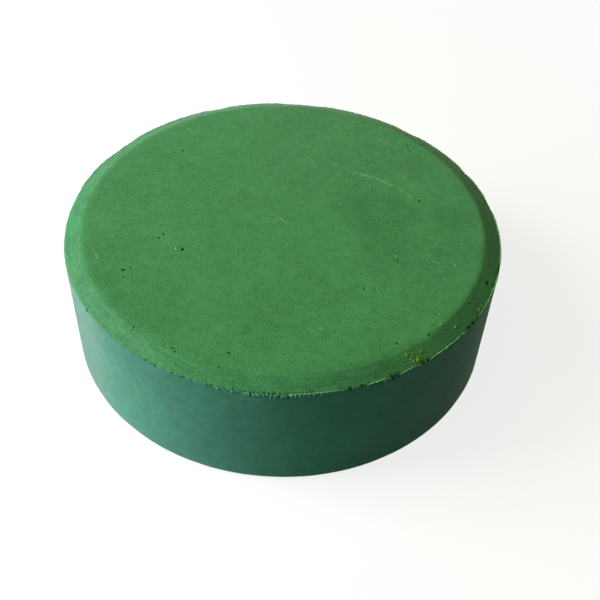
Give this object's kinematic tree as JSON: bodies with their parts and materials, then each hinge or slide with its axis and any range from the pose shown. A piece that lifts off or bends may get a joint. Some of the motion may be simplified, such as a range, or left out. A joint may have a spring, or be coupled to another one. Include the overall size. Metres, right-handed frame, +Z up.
{
  "type": "shaving soap puck",
  "caption": "Round pressed puck of green shaving soap with a bevelled lather face and a feather of press flash round its shoulder.",
  "frame": {"origin": "middle of the flat base, on the surface that the puck stands on", "axes": "+Z up along the puck's axis, towards the lather face; the puck is round, so +X and +Y only fix where its marks lie: -Y is the side with the folded flakes"},
  "size_m": [0.076, 0.0761, 0.0238],
  "materials": {
    "soap": "pressed green soap, dry and matt on the face and bevel, burnished to a dull sheen on the side",
    "flash": "thin feather of the same green soap, paler because it is crushed",
    "yellow_soap": "dry crumbs of yellow soap",
    "pale_soap": "pale grains of undissolved soap"
  },
  "bodies": {
    "root": {"soap_cake": "soap", "rim_flash": "flash", "rim_flakes": "flash", "rim_crumbs": "yellow_soap", "top_flecks": "pale_soap"}
  },
  "joints": []
}
